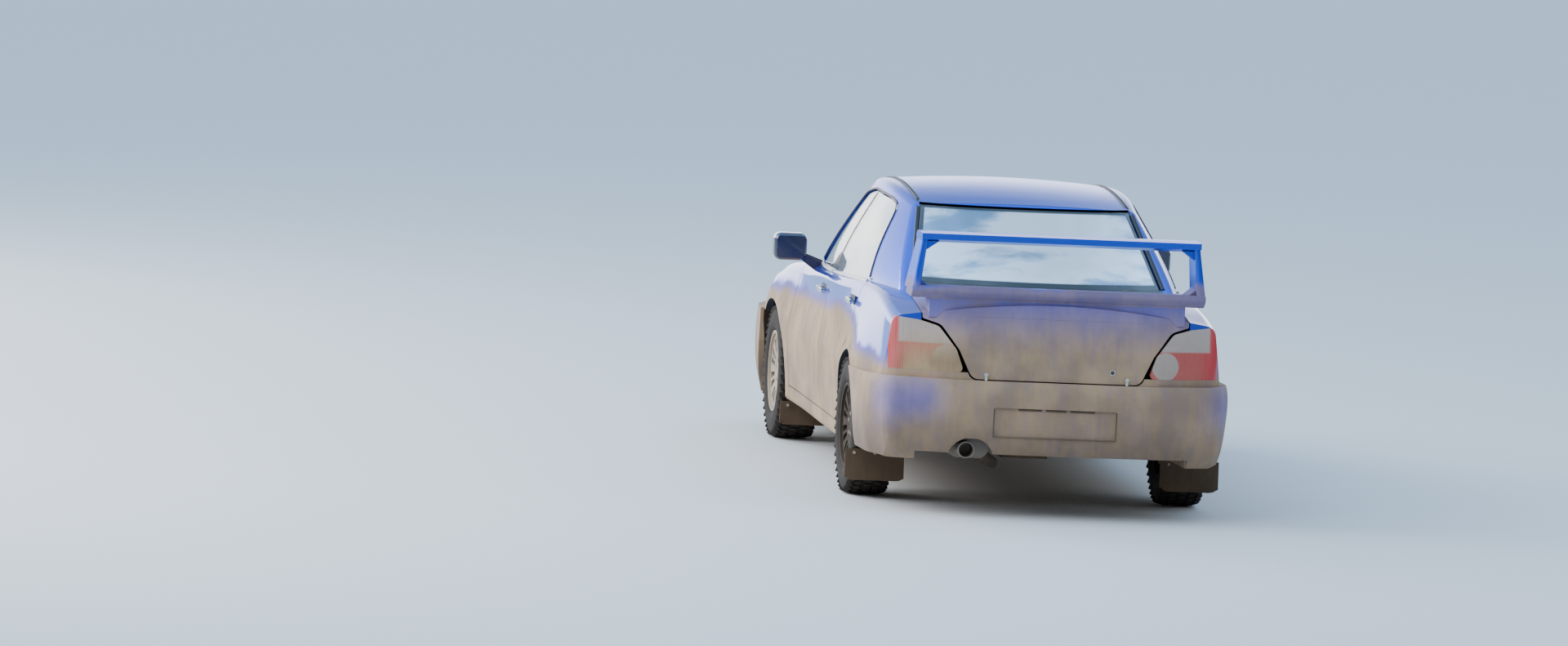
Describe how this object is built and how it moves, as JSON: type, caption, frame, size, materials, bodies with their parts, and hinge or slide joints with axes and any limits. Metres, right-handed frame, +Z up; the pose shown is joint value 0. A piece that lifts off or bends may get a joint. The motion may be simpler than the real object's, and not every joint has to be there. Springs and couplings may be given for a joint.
{
  "type": "rally car",
  "caption": "Rally saloon with a large boot wing, bonnet scoop, roll cage, mudflaps, steered front wheels, and hinged doors, bonnet and boot lid.",
  "frame": {"origin": "on the ground below the middle of the car's length and width", "axes": "+Y towards the tail, +X towards the car's left side, +Z up; the car faces -Y"},
  "size_m": [1.938, 4.415, 1.4255],
  "materials": {
    "paint": "metallic royal blue",
    "bumper_paint": "painted plastic, muddy",
    "glass": "clear, slightly grey",
    "lamp_clear": "clear lens",
    "lamp_red": "red lens",
    "black_plastic": "black",
    "dark_metal": "dark grey",
    "tyre": "dusty black rubber",
    "wheel": "pale, mud covered",
    "disc": "bare iron",
    "iron": "dark, dusty",
    "steel": "dull steel",
    "flap": "brown with mud",
    "seat_fabric": "dark blue-grey cloth",
    "cage_paint": "light grey",
    "interior_paint": "dark blue, matt"
  },
  "bodies": {
    "shell": {"roof_panel": "paint", "windscreen": "glass", "rear_glass": "glass", "fender_left": "paint", "fender_right": "paint", "body_side_left": "paint", "body_side_right": "paint", "front_bumper": "bumper_paint", "rear_bumper": "bumper_paint", "grille": "black_plastic", "headlamps": "lamp_clear", "tail_lamps": "lamp_red", "floor_pan": "dark_metal", "front_structure": "interior_paint", "rear_structure": "paint", "front_suspension": "iron", "rear_suspension": "iron", "engine_block": "iron", "drivetrain": "iron", "exhaust": "steel", "mudflaps": "flap", "seats": "seat_fabric", "roll_cage": "cage_paint", "dashboard": "black_plastic", "steering_wheel": "black_plastic"},
    "bonnet": {"bonnet": "paint"},
    "boot_lid": {"boot_lid": "paint", "rear_wing": "paint"},
    "door_front_left": {"door_front_left": "paint", "glass_front_left": "glass", "mirror_left": "paint"},
    "door_rear_left": {"door_rear_left": "paint", "glass_rear_left": "glass"},
    "knuckle_left": {"front_knuckle_left": "iron"},
    "wheel_front_left": {"tyre_front_left": "tyre", "rim_front_left": "wheel", "brake_disc_front_left": "disc"},
    "wheel_rear_left": {"tyre_rear_left": "tyre", "rim_rear_left": "wheel", "brake_disc_rear_left": "disc"},
    "door_front_right": {"door_front_right": "paint", "glass_front_right": "glass", "mirror_right": "paint"},
    "door_rear_right": {"door_rear_right": "paint", "glass_rear_right": "glass"},
    "knuckle_right": {"front_knuckle_right": "iron"},
    "wheel_front_right": {"tyre_front_right": "tyre", "rim_front_right": "wheel", "brake_disc_front_right": "disc"},
    "wheel_rear_right": {"tyre_rear_right": "tyre", "rim_rear_right": "wheel", "brake_disc_rear_right": "disc"}
  },
  "joints": [
    {"name": "bonnet_hinge", "type": "hinge", "parent": "shell", "child": "bonnet", "pos_m": [0, -0.895, 0.905], "axis": [-1, 0, 0], "range_deg": [0, 55]},
    {"name": "boot_lid_hinge", "type": "hinge", "parent": "shell", "child": "boot_lid", "pos_m": [0, 1.636, 1.029], "axis": [1, 0, 0], "range_deg": [0, 60]},
    {"name": "door_front_left_hinge", "type": "hinge", "parent": "shell", "child": "door_front_left", "pos_m": [0.833, -0.795, 0.6], "axis": [0, 0, -1], "range_deg": [0, 65]},
    {"name": "door_rear_left_hinge", "type": "hinge", "parent": "shell", "child": "door_rear_left", "pos_m": [0.838, 0.263, 0.6], "axis": [0, 0, -1], "range_deg": [0, 65]},
    {"name": "steer_left", "type": "hinge", "parent": "shell", "child": "knuckle_left", "pos_m": [0.652, -1.3075, 0.323], "axis": [-0.1676, 0, 0.9859], "range_deg": [-35, 35]},
    {"name": "wheel_front_left_spin", "type": "hinge", "parent": "knuckle_left", "child": "wheel_front_left", "pos_m": [0.745, -1.3075, 0.323], "axis": [1, 0, 0], "continuous": true},
    {"name": "wheel_rear_left_spin", "type": "hinge", "parent": "shell", "child": "wheel_rear_left", "pos_m": [0.745, 1.2325, 0.323], "axis": [1, 0, 0], "continuous": true},
    {"name": "door_front_right_hinge", "type": "hinge", "parent": "shell", "child": "door_front_right", "pos_m": [-0.833, -0.795, 0.6], "axis": [0, 0, 1], "range_deg": [0, 65]},
    {"name": "door_rear_right_hinge", "type": "hinge", "parent": "shell", "child": "door_rear_right", "pos_m": [-0.838, 0.263, 0.6], "axis": [0, 0, 1], "range_deg": [0, 65]},
    {"name": "steer_right", "type": "hinge", "parent": "shell", "child": "knuckle_right", "pos_m": [-0.652, -1.3075, 0.323], "axis": [0.1676, 0, 0.9859], "range_deg": [-35, 35]},
    {"name": "wheel_front_right_spin", "type": "hinge", "parent": "knuckle_right", "child": "wheel_front_right", "pos_m": [-0.745, -1.3075, 0.323], "axis": [1, 0, 0], "continuous": true},
    {"name": "wheel_rear_right_spin", "type": "hinge", "parent": "shell", "child": "wheel_rear_right", "pos_m": [-0.745, 1.2325, 0.323], "axis": [1, 0, 0], "continuous": true}
  ],
  "couplings": [
    {"joint": "steer_right", "follows": "steer_left", "ratio": 1}
  ]
}
